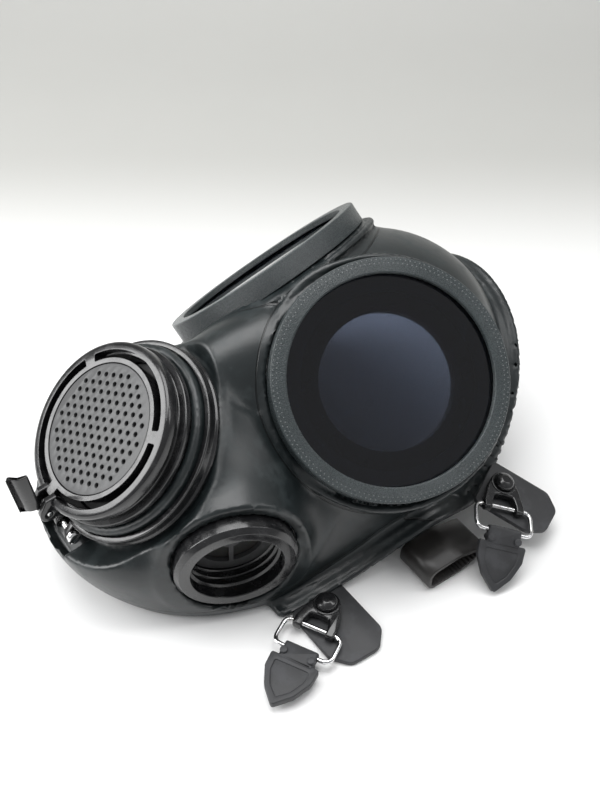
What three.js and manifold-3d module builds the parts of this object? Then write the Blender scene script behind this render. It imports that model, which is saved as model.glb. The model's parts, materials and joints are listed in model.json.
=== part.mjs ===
// Full face respirator, lying on its face opening with the front up. Millimetres, +Z up.
// +X runs from the chin to the forehead, +Y to the wearer's right. The origin is the centre of
// the bounding box's bottom. Inside the model, x = y = 0 is under the speech unit's front face.
import * as THREE from "three";
import { mergeVertices } from "three/addons/utils/BufferGeometryUtils.js";
import Module from "manifold-3d";

const wasm = await Module();
wasm.setup();

// ---- driving dimensions ----
const gap = 0.3; // clearance between touching pieces
const sliver = 0.02; // edges shorter than this are closed up after a join or cut
const wall = 4; // facepiece rubber
const overcut = 6; // how far a cutter runs past the surface that it opens

const speech = {
  centre: [0, 0, 80], axis: [-0.663, 0, 0.749],
  rimR: 37.2, spigotR: 36, spigotBoreR: 32.5, ridgeR: 38, grooveR: 34.8, hubR: 29, length: 30,
  plate: 3.2, lip: 1.6, hubDepth: 8.4, neckR: 40.8, neckFront: 13, taperFront: 30,
};
const grille = { r: 27.3, thick: 2, inset: 0.2, pitch: 4.3, holeR: 1, fieldR: 24.6, holeSides: 4 };
const slots = { innerR: 29.7, outerR: 33.2, count: 3, spokeDeg: 8, turnDeg: 60 };
const diaphragm = { thick: 0.5, ringInnerR: 24, ringDepth: 2.2, ledge: 1.8, ledgeDepth: 2 };
const exhale = { seatDepth: 16, seatThick: 3, discR: 20, discThick: 1.4, stemR: 2, portR: 5, ports: 6 };
const clamp = {
  bandThick: 2, width: 7, depth: 17, earHeight: 9, earThick: 3, split: 6,
  screwR: 1.9, headR: 3.4, headHigh: 2.6,
};
const lever = {
  pivotR: 2.2, pinR: 1.1, width: 3.4, armReach: 11, hookThick: 3,
  bladeLong: 19, bladeShort: 8, bladeThick: 2.4, bladeTurn: -0.61, bladeCentre: [-35, 0, 62],
};
const drink = { tubeR: 3, tubeBoreR: 1.8, offset: 26.4, front: 13 };

const eye = { centre: [110.7, -50.1, 86.4], axis: [-0.229, -0.642, 0.731] };
const cover = { r: 51.5, depth: 9.5, wall: 3.6, lipR: 44.5, lip: 2.8, lensThick: 2.5, baseInnerR: 38 };
const rim = { flangeR: 37.6, tubeR: 34.6, boreR: 29.5, lensR: 31.6, lensThick: 2.5, front: 6.6, back: 17.5 };
const lockRing = { r: 40.5, thick: 3 };

const port = {
  centre: [25.2, -61.9, 34.9], axis: [-0.349, -0.934, -0.068],
  r: 26, boreR: 19.5, collar: 10, spigotR: 22.6, length: 20, chamfer: 2, bossR: 31, nutR: 26, nutThick: 4,
  threadDepth: 1.1, threadPitch: 3.6, threads: 3,
};
const inlet = { seatDepth: 14.5, seatThick: 2, discR: 15, discThick: 1, ribs: 4, ribWide: 2, hubR: 4 };

const noseCup = { wall: 2.4, startR: 34, midR: 36.5, endR: 38, length: 30, rimLift: 7 };
const opening = {
  chinX: -10, browX: 195, chinZ: 12, browZ: 72, saddle: 0.009, archX: 118, archZ: 15, archWide: 34,
};
const brimSize = { wide: 9, thick: 3, frontX: 38 };

const tab = { long: 36, wide: 27, thick: 2.4, round: 6, studInset: 8 };
const stud = { shankR: 2.1, headR: 4.8, headHigh: 3.2 };
const link = { eyeR: 6, postSpan: 15, postR: 2, thick: 4.2, reach: 13, windowInset: 3.4 };
const wireRing = { wide: 26, deep: 13, wireR: 1, round: 4, sides: 6 };
const pullTab = { wide: 22.5, long: 27, thick: 3, barR: 1.7 };
const strap = { wide: 20, thick: 1.8, loopLong: 35, loopHigh: 13, x: 100, edgeY: -96.6 };

const buckleSites = [
  { name: "lower_left", stud: [57, -80, 2.6], yawDeg: 209, tabYawDeg: -88, tiltDeg: 0 },
  { name: "upper_left", stud: [154.2, -81, 19], yawDeg: 231, tabYawDeg: -62, tiltDeg: 17, pullDropDeg: 34 },
];

// ---- materials ----
const finish = (color, roughness, metalness = 0) =>
  new THREE.MeshStandardMaterial({ color, roughness, metalness });
const rubber = finish(0x1b2022, 0.6);
const softRubber = finish(0x16191a, 0.7);
const glossPlastic = finish(0x0d0e10, 0.18);
const satinPlastic = finish(0x3f4244, 0.42);
const printedPlastic = finish(0x2b3334, 0.4);
const darkLens = finish(0x05060c, 0.05);
const clearLens = finish(0xc8ccd0, 0.05);
const chromeWire = finish(0xd9dadb, 0.12, 1);
const silicone = finish(0x7a7064, 0.55);

// ---- mesh helpers ----
function indexed(geometry) {
  const copy = geometry.clone();
  copy.deleteAttribute("normal");
  copy.deleteAttribute("uv");
  const merged = mergeVertices(copy, 1e-4);
  const index = merged.getIndex().array;
  const kept = [];
  for (let i = 0; i < index.length; i += 3) {
    const [a, b, c] = [index[i], index[i + 1], index[i + 2]];
    if (a !== b && b !== c && c !== a) kept.push(a, b, c);
  }
  if (signedVolume(merged.getAttribute("position"), kept) < 0) kept.reverse();
  merged.setIndex(kept);
  return merged;
}

function signedVolume(position, index) {
  const corner = [new THREE.Vector3(), new THREE.Vector3(), new THREE.Vector3()];
  let total = 0;
  for (let i = 0; i < index.length; i += 3) {
    corner.forEach((v, k) => v.fromBufferAttribute(position, index[i + k]));
    total += corner[0].dot(corner[1].clone().cross(corner[2])) / 6;
  }
  return total;
}

function toManifold(geometry) {
  const solid = indexed(geometry);
  return new wasm.Manifold(new wasm.Mesh({
    numProp: 3,
    vertProperties: Float32Array.from(solid.getAttribute("position").array),
    triVerts: Uint32Array.from(solid.getIndex().array),
  }));
}

// The result of a join or cut, without the sliver triangles that crossing surfaces leave.
function fromManifold(manifold) {
  const mesh = manifold.simplify(sliver).getMesh();
  const geometry = new THREE.BufferGeometry();
  geometry.setAttribute("position", new THREE.BufferAttribute(Float32Array.from(mesh.vertProperties), 3));
  geometry.setIndex(Array.from(mesh.triVerts));
  return geometry;
}

function cut(geometry, cutters) {
  return fromManifold(cutters.reduce((rest, tool) => rest.subtract(toManifold(tool)), toManifold(geometry)));
}

function join(pieces) {
  const [first, ...others] = pieces.map(toManifold);
  return fromManifold(others.reduce((all, piece) => all.add(piece), first));
}

// Profile points are [radius, depth behind the front face]; the piece's axis is +Z, front at z = 0.
function turned(points, segments = 36) {
  const closed = points[0][0] === 0 ? points : [...points, points[0]];
  const outline = closed.map(([r, depth]) => new THREE.Vector2(r, -depth));
  return indexed(new THREE.LatheGeometry(outline, segments).rotateX(Math.PI / 2));
}

const disc = (r, front, back, segments) => turned([[0, front], [r, front], [r, back], [0, back]], segments);
const tube = (inner, outer, front, back, segments) =>
  turned([[inner, front], [outer, front], [outer, back], [inner, back]], segments);

// A cutter for a hole that clears a shaft of radius r all round, whatever the number of sides.
const holeTool = (r, front = -20, back = 60, sides = 12) =>
  disc((r + gap) / Math.cos(Math.PI / sides), front, back, sides);

function extruded(shape, depth, curveSegments = 6) {
  return indexed(new THREE.ExtrudeGeometry(shape, { depth, bevelEnabled: false, curveSegments }));
}

function roundedRect(x0, y0, x1, y1, r) {
  const shape = new THREE.Shape();
  shape.moveTo(x0 + r, y0);
  shape.lineTo(x1 - r, y0);
  shape.absarc(x1 - r, y0 + r, r, -Math.PI / 2, 0);
  shape.lineTo(x1, y1 - r);
  shape.absarc(x1 - r, y1 - r, r, 0, Math.PI / 2);
  shape.lineTo(x0 + r, y1);
  shape.absarc(x0 + r, y1 - r, r, Math.PI / 2, Math.PI);
  shape.lineTo(x0, y0 + r);
  shape.absarc(x0 + r, y0 + r, r, Math.PI, Math.PI * 1.5);
  return shape;
}

function ringPoints(x, y, r, sides) {
  return Array.from({ length: sides }, (_, i) => {
    const angle = (i * 2 * Math.PI) / sides;
    return new THREE.Vector2(x + r * Math.cos(angle), y + r * Math.sin(angle));
  });
}

const vec = (p) => new THREE.Vector3(...p);
const mirrored = (p) => [p[0], -p[1], p[2]];

// A frame whose +Z is the given axis and whose +X leans towards the forehead.
function axisFrame(centre, axis) {
  const z = vec(axis).normalize();
  const x = new THREE.Vector3(1, 0, 0).addScaledVector(z, -z.x).normalize();
  const y = z.clone().cross(x);
  return new THREE.Matrix4().makeBasis(x, y, z).setPosition(vec(centre));
}

function groupAt(matrix, name = "") {
  const group = new THREE.Group();
  matrix.decompose(group.position, group.quaternion, group.scale);
  group.name = name;
  return group;
}

function mesh(name, geometry, material, parent) {
  const piece = new THREE.Mesh(geometry, material);
  piece.name = name;
  parent.add(piece);
  return piece;
}

const placed = (geometry, frame) => geometry.clone().applyMatrix4(frame);

const speechFrame = axisFrame(speech.centre, speech.axis);
const portFrame = axisFrame(port.centre, port.axis);
const eyeFrames = {
  left: axisFrame(eye.centre, eye.axis),
  right: axisFrame(mirrored(eye.centre), mirrored(eye.axis)),
};

// ---- facepiece: overlapping rounded forms, joined, and hollowed by the same forms a wall smaller ----
const seatDepth = cover.depth + gap;
const domes = [
  { centre: [118, 0, 12], radii: [84, 70, 88] }, // cheeks and temples
  { centre: [141, 0, 52], radii: [60, 60, 58] }, // brow
  { centre: [80, 0, 66], radii: [62, 28, 39] }, // nose ridge
  { centre: [52, 0, 18], radii: [75, 67, 48] }, // jaw
  { centre: [-3, 0, 33], radii: [26, 41, 22] }, // chin
];
const necks = [
  { frame: speechFrame, front: speech.taperFront, frontR: speech.neckR + 3, back: 78, backR: 61 },
  { frame: speechFrame, front: speech.neckFront, frontR: speech.neckR, back: 50, backR: speech.neckR + 2 },
  { frame: portFrame, front: port.collar + gap, frontR: port.bossR, back: 42, backR: port.bossR + 8 },
  { frame: eyeFrames.left, front: seatDepth, frontR: cover.r - 0.5, back: 46, backR: cover.r + 5 },
  { frame: eyeFrames.right, front: seatDepth, frontR: cover.r - 0.5, back: 46, backR: cover.r + 5 },
];

const roundedForms = (inset) => domes.map(({ centre, radii }) => new THREE.SphereGeometry(1, 16, 9)
  .rotateX(Math.PI / 2).scale(...radii.map((r) => r - inset)).translate(...centre));

function facepieceForms(inset) {
  const cones = necks.map(({ frame, front, frontR, back, backR }) => {
    const profile = [[0, front + inset], [frontR - inset, front + inset], [backR - inset, back], [0, back]];
    return placed(turned(profile, 20), frame);
  });
  return join([...roundedForms(inset), ...cones]);
}

// Height of the face opening's edge: a saddle that arches at the brow, the chin and over the strap.
function rimHeight(x, y) {
  const along = (x - opening.chinX) / (opening.browX - opening.chinX);
  const profile = opening.chinZ + (opening.browZ - opening.chinZ) * along - opening.saddle * y * y;
  const arch = opening.archZ * Math.exp(-(((x - opening.archX) / opening.archWide) ** 2));
  return Math.max(profile, arch, 0);
}

// Everything under the opening's edge, lifted by a given height.
function belowRim(lift) {
  const [long, wide, deep] = [300, 240, 180];
  const block = new THREE.BoxGeometry(long, wide, deep, 16, 12, 1).translate(88, 0, 0);
  const position = block.getAttribute("position");
  for (let i = 0; i < position.count; i++)
    if (position.getZ(i) > 0) position.setZ(i, rimHeight(position.getX(i), position.getY(i)) + lift);
  return block;
}

const boreClear = (r, front, back) => disc((r + gap) / Math.cos(Math.PI / 20), front, back, 20);

const nutFront = port.collar + gap + wall + 1;
const bandR = speech.neckR + gap;
const bandMiddle = -clamp.depth - clamp.width / 2;
const earOuter = clamp.split / 2 + clamp.earThick + gap;

function facepieceCutters() {
  const bandRoom = bandR + clamp.bandThick + overcut;
  const cutters = [
    placed(boreClear(speech.neckR + overcut, -30, speech.neckFront), speechFrame),
    placed(boreClear(speech.spigotR, 0, 70), speechFrame),
    placed(tube(speech.neckR, bandRoom, clamp.depth - 1, clamp.depth + clamp.width + 1, 36), speechFrame),
    placed(boreClear(port.r, -30, port.collar + gap), portFrame),
    placed(boreClear(port.spigotR, 0, 46), portFrame),
    placed(boreClear(port.nutR, nutFront - gap, nutFront + port.nutThick + overcut), portFrame),
  ];
  const earRoom = [clamp.earHeight + 2 * overcut, 2 * (earOuter + overcut), clamp.width + 2];
  cutters.push(placed(new THREE.BoxGeometry(...earRoom)
    .translate(-bandR - earRoom[0] / 2, 0, bandMiddle), speechFrame));
  for (const frame of Object.values(eyeFrames)) {
    cutters.push(placed(boreClear(cover.r, -30, seatDepth), frame));
    cutters.push(placed(boreClear(rim.tubeR, 0, 40), frame));
  }
  return cutters;
}

// A flat brim round the opening's edge, behind the chin.
function brim() {
  const layer = toManifold(belowRim(brimSize.thick)).subtract(toManifold(belowRim(0)));
  const zone = new THREE.BoxGeometry(300, 300, 300).translate(150 + brimSize.frontX, 0, 0);
  const outline = toManifold(join(roundedForms(-brimSize.wide)));
  return fromManifold(layer.intersect(toManifold(zone)).intersect(outline));
}

// The speech neck's own wall, kept whole where the chin's hollow crosses it.
function neckSleeve() {
  const back = clamp.depth + clamp.width + wall;
  const sleeve = tube(speech.spigotR, speech.neckR + 2 * wall, speech.neckFront, back, 36);
  return fromManifold(toManifold(placed(sleeve, speechFrame)).intersect(toManifold(facepieceForms(0))));
}

const model = new THREE.Group();
const shell = cut(join([facepieceForms(0), brim()]), [facepieceForms(wall), belowRim(0)]);
mesh("facepiece", cut(join([shell, neckSleeve()]), facepieceCutters()), rubber, model);

// ---- speech and exhale unit ----
const speechUnit = groupAt(speechFrame, "speech_unit");
model.add(speechUnit);

const ledgeFront = grille.inset + grille.thick + gap;
const ledgeBack = ledgeFront + diaphragm.ledgeDepth;
function speechHousing() {
  const s = speech;
  const [pocketR, ledgeR] = [grille.r + gap, grille.r - diaphragm.ledge];
  const body = turned([
    [pocketR, 0], [s.rimR - s.lip, 0], [s.rimR, s.lip], [s.rimR, 5], [s.grooveR, 6.4], [s.grooveR, 8.6],
    [s.ridgeR, 9.8], [s.ridgeR, 12.3], [s.spigotR, s.neckFront - gap], [s.spigotR, s.length],
    [s.spigotBoreR, s.length], [s.spigotBoreR, s.plate], [s.hubR, s.plate], [s.hubR, s.hubDepth],
    [pocketR, s.hubDepth], [pocketR, ledgeBack], [ledgeR, ledgeBack],
    [ledgeR, ledgeFront], [pocketR, ledgeFront],
  ], 24);
  const cutters = [];
  for (let i = 0; i < slots.count; i++) {
    const start = THREE.MathUtils.degToRad(slots.turnDeg + (i * 360) / slots.count + slots.spokeDeg / 2);
    const end = start + THREE.MathUtils.degToRad(360 / slots.count - slots.spokeDeg);
    const shape = new THREE.Shape();
    shape.absarc(0, 0, slots.outerR, start, end);
    shape.absarc(0, 0, slots.innerR, end, start, true);
    cutters.push(extruded(shape, s.plate + 2, 4).translate(0, 0, -s.plate - 1));
  }
  const notch = new THREE.BoxGeometry(8, lever.width + 2 * gap, 8).translate(-s.rimR, 0, -2);
  return join([cut(body, [...cutters, notch]), ...leverHooks()]);
}

// Two ears at the chin that carry the lever's pin.
const leverPivot = [-speech.rimR - 3.4, 0, -3.4];
function leverHooks() {
  return [-1, 1].map((side) => {
    const shape = new THREE.Shape();
    shape.moveTo(8, 5);
    shape.lineTo(0, lever.pivotR + 1.8);
    shape.absarc(0, 0, lever.pivotR + 1.8, Math.PI / 2, Math.PI * 1.5);
    shape.lineTo(6, -lever.pivotR - 1.8);
    const ear = extruded(shape, lever.hookThick, 6).rotateX(Math.PI / 2);
    const inner = lever.width / 2 + gap;
    const y = side > 0 ? inner + lever.hookThick : -inner;
    const hole = holeTool(lever.pinR, -30, 30).rotateX(Math.PI / 2);
    hole.translate(leverPivot[0], 0, leverPivot[2]);
    return cut(ear.translate(leverPivot[0], y, leverPivot[2]), [hole]);
  });
}
mesh("speech_housing", speechHousing(), glossPlastic, speechUnit);

function grilleDisc() {
  const shape = new THREE.Shape(ringPoints(0, 0, grille.r, 32));
  const rowHeight = (grille.pitch * Math.sqrt(3)) / 2;
  const rows = Math.floor(grille.fieldR / rowHeight);
  for (let row = -rows; row <= rows; row++) {
    const shift = row % 2 === 0 ? 0 : grille.pitch / 2;
    for (let x = -30 * grille.pitch + shift; x <= grille.fieldR; x += grille.pitch) {
      if (Math.hypot(x, row * rowHeight) > grille.fieldR) continue;
      const hole = ringPoints(x, row * rowHeight, grille.holeR, grille.holeSides);
      shape.holes.push(new THREE.Path(hole.reverse()));
    }
  }
  return extruded(shape, grille.thick, 5).translate(0, 0, -grille.thick - grille.inset);
}
mesh("speech_grille", grilleDisc(), satinPlastic, speechUnit);

const diaphragmFront = ledgeBack + gap;
const diaphragmBack = diaphragmFront + diaphragm.thick;
mesh("speech_diaphragm", disc(grille.r, diaphragmFront, diaphragmBack, 28), silicone, speechUnit);
const ringFront = diaphragmBack + gap;
mesh("diaphragm_ring", tube(diaphragm.ringInnerR, grille.r, ringFront, ringFront + diaphragm.ringDepth, 28),
  glossPlastic, speechUnit);

function exhaleSeat() {
  const r = speech.spigotBoreR - gap;
  const plate = disc(r, exhale.seatDepth, exhale.seatDepth + exhale.seatThick, 32);
  const holes = [holeTool(exhale.stemR, 0)];
  for (let i = 0; i < exhale.ports; i++) {
    const angle = (i * 2 * Math.PI) / exhale.ports + Math.PI / exhale.ports;
    const reach = exhale.discR - exhale.portR - 1.5;
    holes.push(disc(exhale.portR, 0, 60, 10).translate(reach * Math.cos(angle), reach * Math.sin(angle), 0));
  }
  holes.push(holeTool(drink.tubeR, 0).translate(-drink.offset, 0, 0));
  return cut(plate, holes);
}
mesh("exhale_seat", exhaleSeat(), satinPlastic, speechUnit);
const exhaleBack = exhale.seatDepth - gap;
const exhaleDisc = turned([
  [0, exhaleBack - exhale.discThick - 1], [exhale.stemR + 2, exhaleBack - exhale.discThick - 1],
  [exhale.discR, exhaleBack - 0.8], [exhale.discR, exhaleBack],
  [exhale.stemR, exhaleBack], [exhale.stemR, exhale.seatDepth + exhale.seatThick + 3],
  [0, exhale.seatDepth + exhale.seatThick + 3],
], 28);
mesh("exhale_disc", exhaleDisc, silicone, speechUnit);

// ---- clamp round the rubber neck, its ears, screw and nut at the chin ----
function clampBand() {
  const half = clamp.split / 2;
  const band = tube(bandR, bandR + clamp.bandThick, clamp.depth, clamp.depth + clamp.width, 40);
  const gapTool = new THREE.BoxGeometry(20, clamp.split, 30).translate(-bandR, 0, bandMiddle);
  const ears = [-1, 1].map((side) =>
    new THREE.BoxGeometry(clamp.earHeight, clamp.earThick, clamp.width)
      .translate(-bandR - clamp.earHeight / 2 - 0.2, side * (half + clamp.earThick / 2), bandMiddle));
  const hole = holeTool(clamp.screwR, -30, 30).rotateX(Math.PI / 2)
    .translate(-bandR - clamp.earHeight * 0.62, 0, bandMiddle);
  return cut(join([cut(band, [gapTool]), ...ears]), [hole]);
}
mesh("clamp_band", clampBand(), glossPlastic, speechUnit);

const screwGroup = new THREE.Group();
screwGroup.name = "clamp_screw_axis";
screwGroup.position.set(-bandR - clamp.earHeight * 0.62, 0, bandMiddle);
screwGroup.rotation.x = Math.PI / 2; // its +Z points towards the wearer's left
speechUnit.add(screwGroup);
const screwTip = earOuter + clamp.headHigh + 0.8;
const headTop = -earOuter - clamp.headHigh;
const screwSolid = turned([
  [0, headTop], [clamp.headR - 0.5, headTop], [clamp.headR, headTop + 0.6], [clamp.headR, -earOuter],
  [clamp.screwR, -earOuter], [clamp.screwR, screwTip], [0, screwTip],
], 16);
const screwSlot = new THREE.BoxGeometry(2 * clamp.headR + 1, 1, 1.2).translate(0, 0, -headTop);
mesh("clamp_screw", cut(screwSolid, [screwSlot]), chromeWire, screwGroup);
const nutSolid = cut(disc(clamp.headR, earOuter, earOuter + clamp.headHigh, 6), [holeTool(clamp.screwR)]);
mesh("clamp_nut", nutSolid, chromeWire, screwGroup);

// ---- drinking lever, its pin, and the tube inside ----
const leverMatrix = new THREE.Matrix4().makeRotationX(-Math.PI / 2).setPosition(vec(leverPivot));
const leverGroup = groupAt(leverMatrix, "drinking_lever_axis"); // its +Z points towards the wearer's right
speechUnit.add(leverGroup);
function leverBlade() {
  const half = lever.width / 2;
  const barrel = disc(lever.pivotR, -half, half, 14);
  const shape = new THREE.Shape();
  shape.moveTo(-lever.pivotR + 0.2, 0);
  shape.lineTo(lever.pivotR - 0.2, 0);
  shape.lineTo(1, -lever.armReach);
  shape.lineTo(-3.5, -lever.armReach);
  const arm = extruded(shape, lever.width).translate(0, 0, -half);
  // The blade stands upright beside the chin, turned a little towards the wearer's left.
  const blade = new THREE.BoxGeometry(lever.bladeShort, lever.bladeThick, lever.bladeLong)
    .rotateZ(lever.bladeTurn).translate(...lever.bladeCentre);
  const toLever = speechFrame.clone().multiply(leverMatrix).invert();
  return cut(join([barrel, arm, placed(blade, toLever)]), [holeTool(lever.pinR)]);
}
mesh("drinking_lever", leverBlade(), glossPlastic, leverGroup);
const pinHalf = lever.width / 2 + gap + lever.hookThick;
mesh("lever_pin", disc(lever.pinR, -pinHalf, pinHalf, 12), chromeWire, leverGroup);

function drinkingTube() {
  const { offset, front } = drink;
  const bend = [[4.4 - offset, front + 17], [12.4 - offset, front + 24]];
  const route = [[-offset, front], [-offset, front + 9], ...bend];
  const path = new THREE.CatmullRomCurve3(route.map(([x, depth]) => new THREE.Vector3(x, 0, -depth)));
  const shape = new THREE.Shape();
  shape.absarc(0, 0, drink.tubeR, 0, Math.PI * 2);
  const hole = new THREE.Path();
  hole.absarc(0, 0, drink.tubeBoreR, 0, Math.PI * 2, true);
  shape.holes.push(hole);
  const sweep = { steps: 8, extrudePath: path, curveSegments: 4, bevelEnabled: false };
  return indexed(new THREE.ExtrudeGeometry(shape, sweep));
}
mesh("drinking_tube", drinkingTube(), softRubber, speechUnit);

// ---- nose cup ----
const cupFront = speech.length + gap;
function noseCupShell() {
  const c = noseCup;
  const [d0, d1, d2] = [cupFront, cupFront + c.length * 0.45, cupFront + c.length];
  const shell = turned([
    [c.startR, d0], [c.startR + 1, d0 + 5], [c.midR, d1], [c.endR, d2], [c.endR - c.wall, d2],
    [c.midR - c.wall, d1], [c.startR + 1 - c.wall, d0 + 5], [c.startR - 4, d0 + 2.4], [c.startR - 4, d0],
  ], 28);
  return cut(placed(shell, speechFrame), [belowRim(noseCup.rimLift)]);
}
mesh("nose_cup", noseCupShell(), softRubber, model);

// ---- filter port on the left cheek ----
const portUnit = groupAt(portFrame, "port_unit");
model.add(portUnit);
function portConnector() {
  const p = port;
  const threadLines = [];
  for (let i = p.threads - 1; i >= 0; i--) {
    const depth = 3 + i * p.threadPitch;
    threadLines.push([p.boreR, depth + 1.4], [p.boreR - p.threadDepth, depth + 0.8], [p.boreR, depth]);
  }
  return turned([
    [p.boreR, 0], [p.r - p.chamfer, 0], [p.r, p.chamfer], [p.r, p.collar], [p.spigotR, p.collar],
    [p.spigotR, p.length], [p.boreR - 2, p.length], [p.boreR - 2, inlet.seatDepth + inlet.seatThick + gap],
    [p.boreR, inlet.seatDepth + inlet.seatThick + gap], ...threadLines,
  ], 24);
}
mesh("port_connector", portConnector(), glossPlastic, portUnit);
const portNut = tube(port.spigotR + gap, port.nutR, nutFront, nutFront + port.nutThick, 30);
mesh("port_nut", portNut, satinPlastic, portUnit);

function inletSeat() {
  const r = port.boreR - gap;
  const ring = tube(inlet.discR - 1, r, inlet.seatDepth, inlet.seatDepth + inlet.seatThick, 30);
  const hub = disc(inlet.hubR, inlet.seatDepth, inlet.seatDepth + inlet.seatThick, 16);
  const ribs = [];
  for (let i = 0; i < inlet.ribs / 2; i++) {
    const rib = new THREE.BoxGeometry(2 * inlet.discR, inlet.ribWide, inlet.seatThick);
    rib.rotateZ((i * Math.PI * 2) / inlet.ribs);
    ribs.push(rib.translate(0, 0, -inlet.seatDepth - inlet.seatThick / 2));
  }
  return join([ring, hub, ...ribs]);
}
mesh("inlet_seat", inletSeat(), satinPlastic, portUnit);
const inletFront = inlet.seatDepth + inlet.seatThick + gap;
mesh("inlet_disc", disc(inlet.discR, inletFront, inletFront + inlet.discThick, 26), silicone, portUnit);

// ---- eyepieces: the mask's own eye lens and, over it, the large dark lens cover ----
for (const [side, frame] of Object.entries(eyeFrames)) {
  const unit = groupAt(frame, `${side}_eye_unit`);
  model.add(unit);
  const c = cover;
  const pocketR = c.r - c.wall;
  const coverRing = turned([
    [c.lipR, 0], [c.r - 0.8, 0], [c.r, 0.8], [c.r, c.depth],
    [pocketR, c.depth], [pocketR, c.lip], [c.lipR, c.lip],
  ], 32);
  mesh(`${side}_cover_ring`, coverRing, printedPlastic, unit);
  const lensFront = c.lip + gap;
  mesh(`${side}_cover_lens`, disc(pocketR - gap, lensFront, lensFront + c.lensThick, 32), darkLens, unit);
  const baseFront = lensFront + c.lensThick + gap;
  mesh(`${side}_cover_base`, tube(c.baseInnerR, pocketR - gap, baseFront, c.depth, 24), printedPlastic, unit);
  const eyeFront = rim.front + 1;
  const seatBack = eyeFront + rim.lensThick + gap;
  const eyeRim = turned([
    [rim.lensR + gap, rim.front], [rim.flangeR, rim.front], [rim.flangeR, c.depth], [rim.tubeR, c.depth],
    [rim.tubeR, rim.back], [rim.boreR, rim.back], [rim.boreR, seatBack], [rim.lensR + gap, seatBack],
  ], 24);
  mesh(`${side}_eye_rim`, eyeRim, glossPlastic, unit);
  mesh(`${side}_eye_lens`, disc(rim.lensR, eyeFront, eyeFront + rim.lensThick, 24), clearLens, unit);
  const lockFront = seatDepth + wall + 0.7;
  mesh(`${side}_eye_lock_ring`, tube(rim.tubeR + gap, lockRing.r, lockFront, lockFront + lockRing.thick, 24),
    satinPlastic, unit);
}

// ---- harness buckles ----
function tabPlate() {
  const shape = roundedRect(-tab.studInset, -tab.wide / 2, tab.long - tab.studInset, tab.wide / 2, tab.round);
  const hole = holeTool(stud.shankR);
  return cut(extruded(shape, tab.thick, 4).translate(0, 0, -tab.thick), [hole]);
}

function studSolid() {
  const { headR, headHigh, shankR } = stud;
  const top = link.thick + 2 * gap;
  return turned([
    [0, -top - headHigh], [headR * 0.6, -top - headHigh * 0.8], [headR, -top - headHigh * 0.25],
    [headR, -top], [shankR, -top], [shankR, tab.thick], [0, tab.thick],
  ], 16);
}

function linkPlate() {
  const shape = new THREE.Shape();
  const half = link.postSpan / 2;
  shape.absarc(0, 0, link.eyeR, Math.PI * 0.62, Math.PI * 1.38);
  shape.lineTo(link.reach - 2, -half - link.postR);
  shape.lineTo(link.reach + 1.4, -half - link.postR);
  shape.lineTo(link.reach + 1.4, -half + link.postR);
  shape.lineTo(link.reach - 2.6, -half + link.postR);
  shape.lineTo(link.eyeR - 1.2, -link.windowInset);
  shape.lineTo(link.eyeR - 1.2, link.windowInset);
  shape.lineTo(link.reach - 2.6, half - link.postR);
  shape.lineTo(link.reach + 1.4, half - link.postR);
  shape.lineTo(link.reach + 1.4, half + link.postR);
  shape.lineTo(link.reach - 2, half + link.postR);
  const boreTool = holeTool(stud.shankR);
  const wireTool = holeTool(wireRing.wireR, -30, 30).rotateX(Math.PI / 2)
    .translate(link.reach - 1, 0, gap + link.thick / 2);
  return cut(extruded(shape, link.thick, 5).translate(0, 0, gap), [boreTool, wireTool]);
}

// The wire ring's near bar is its hinge line, at the local Y axis. A closed wire is built as a grid of
// stations along the loop by points round the wire.
function ringSolid() {
  const half = wireRing.wide / 2;
  const corners = roundedRect(0, -half, wireRing.deep, half, wireRing.round).getPoints(2);
  const loop = corners.filter((p, i) => i === 0 || p.distanceTo(corners[i - 1]) > 0.01).slice(0, -1);
  const positions = [];
  loop.forEach((centre, i) => {
    const ahead = loop[(i + 1) % loop.length].clone().sub(centre).normalize();
    const behind = centre.clone().sub(loop.at(i - 1)).normalize();
    const along = ahead.clone().add(behind).normalize();
    const widen = 1 / along.dot(ahead); // keeps the wire's thickness through a corner
    for (const p of ringPoints(0, 0, wireRing.wireR, wireRing.sides))
      positions.push(centre.x - along.y * p.x * widen, centre.y + along.x * p.x * widen, p.y);
  });
  const index = [];
  const n = wireRing.sides;
  loop.forEach((_, i) => {
    const next = (i + 1) % loop.length;
    for (let j = 0; j < n; j++) {
      const [a, b, c, d] = [i * n + j, i * n + ((j + 1) % n), next * n + j, next * n + ((j + 1) % n)];
      index.push(a, c, b, b, c, d);
    }
  });
  const geometry = new THREE.BufferGeometry();
  geometry.setAttribute("position", new THREE.Float32BufferAttribute(positions, 3));
  geometry.setIndex(index);
  return indexed(geometry);
}

// The pull tab turns on the ring's far bar, at the local origin, and points along +X.
function pullSolid() {
  const half = pullTab.wide / 2;
  const shape = new THREE.Shape();
  shape.moveTo(-1, -half + 5);
  shape.lineTo(4, -half + 4);
  shape.lineTo(5.5, -half);
  shape.lineTo(12, -half + 1);
  shape.quadraticCurveTo(22, -half + 4, pullTab.long, 0);
  shape.quadraticCurveTo(22, half - 4, 12, half - 1);
  shape.lineTo(5.5, half);
  shape.lineTo(4, half - 4);
  shape.lineTo(-1, half - 5);
  const plate = extruded(shape, pullTab.thick, 5).translate(0, 0, -pullTab.thick / 2);
  const knuckle = new THREE.CylinderGeometry(pullTab.barR + 1, pullTab.barR + 1, pullTab.wide - 8, 12);
  const bore = holeTool(wireRing.wireR, -30, 30).rotateX(Math.PI / 2);
  return cut(join([plate, knuckle]), [bore]);
}

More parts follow.
